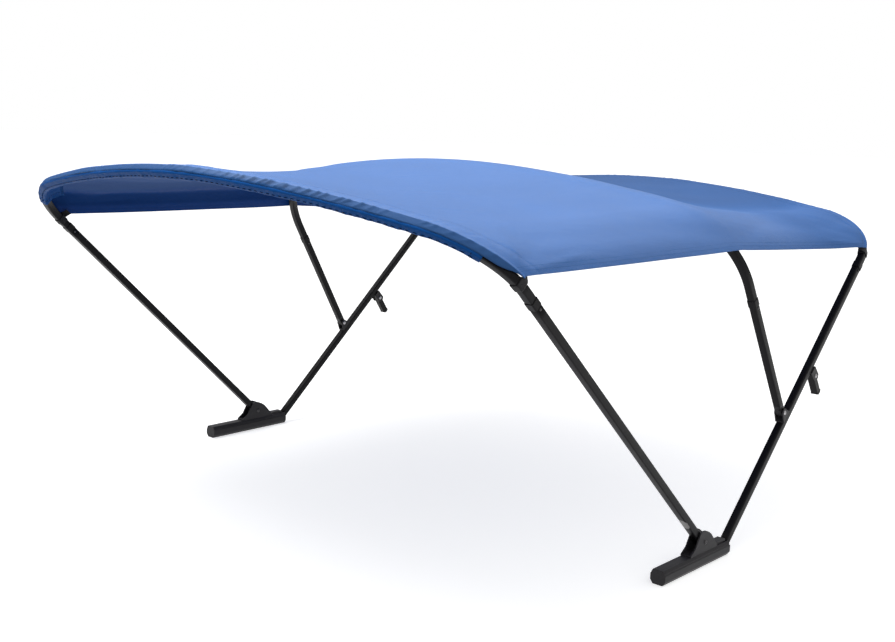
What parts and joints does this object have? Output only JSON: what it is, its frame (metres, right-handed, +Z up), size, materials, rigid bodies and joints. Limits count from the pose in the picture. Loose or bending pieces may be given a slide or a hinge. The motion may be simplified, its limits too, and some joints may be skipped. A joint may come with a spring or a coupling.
{
  "type": "bimini top and frame",
  "caption": "Open boat shade: a sloping cloth canopy stretched over three bows of square tube that stand on two base rails.",
  "frame": {"origin": "on the floor under the middle of the part's box", "axes": "+Z up, +X toward the side with the higher hem (the right side seen from the front), -Y toward the front bow's edge"},
  "size_m": [2.622, 2.9142, 1.4144],
  "materials": {
    "canopy_cloth": "woven, matt blue, lighter where lit",
    "pocket_cloth": "woven, matt blue, in shade",
    "webbing": "black woven webbing",
    "tube": "satin black powder coat",
    "bracket": "dark grey, slightly rough",
    "plug": "black moulded plastic",
    "bolt": "bare metal heads"
  },
  "bodies": {
    "frame": {"arch_A": "tube", "arch_B": "tube", "arch_C": "tube", "canopy": "canopy_cloth", "pocket_front": "pocket_cloth", "pocket_rear": "pocket_cloth", "leg_A_left": "tube", "leg_B_left": "tube", "leg_C_left": "tube", "collar_A_left": "plug", "collar_B_left": "plug", "collar_C_left": "plug", "rivet_A_left": "bolt", "rivet_B_left": "bolt", "rivet_C_left": "bolt", "strap_A_left": "webbing", "strap_B_left": "webbing", "rail_left": "bracket", "ear_left": "bracket", "ear_bolt_left": "bolt", "clevis_left": "bracket", "clevis_bolt_left": "bolt", "eye_left": "plug", "stub_bracket_left": "bracket", "stub_bolt_left": "bolt", "leg_A_right": "tube", "leg_B_right": "tube", "leg_C_right": "tube", "collar_A_right": "plug", "collar_B_right": "plug", "collar_C_right": "plug", "rivet_A_right": "bolt", "rivet_B_right": "bolt", "rivet_C_right": "bolt", "strap_A_right": "webbing", "strap_B_right": "webbing", "rail_right": "bracket", "ear_right": "bracket", "ear_bolt_right": "bolt", "clevis_right": "bracket", "clevis_bolt_right": "bolt", "eye_right": "plug", "stub_bracket_right": "bracket", "stub_bolt_right": "bolt"},
    "stub_left": {"stub_left": "tube", "stub_plug_left": "plug"},
    "stub_right": {"stub_right": "tube", "stub_plug_right": "plug"}
  },
  "joints": [
    {"name": "stub_fold_left", "type": "hinge", "parent": "frame", "child": "stub_left", "pos_m": [-1.26844, 0.76906, 0.59211], "axis": [-0.9999, 0.0105, 0.0099], "range_deg": [0, 80]},
    {"name": "stub_fold_right", "type": "hinge", "parent": "frame", "child": "stub_right", "pos_m": [1.26844, 0.76906, 0.59211], "axis": [-0.9999, -0.0105, -0.0099], "range_deg": [0, 80]}
  ]
}
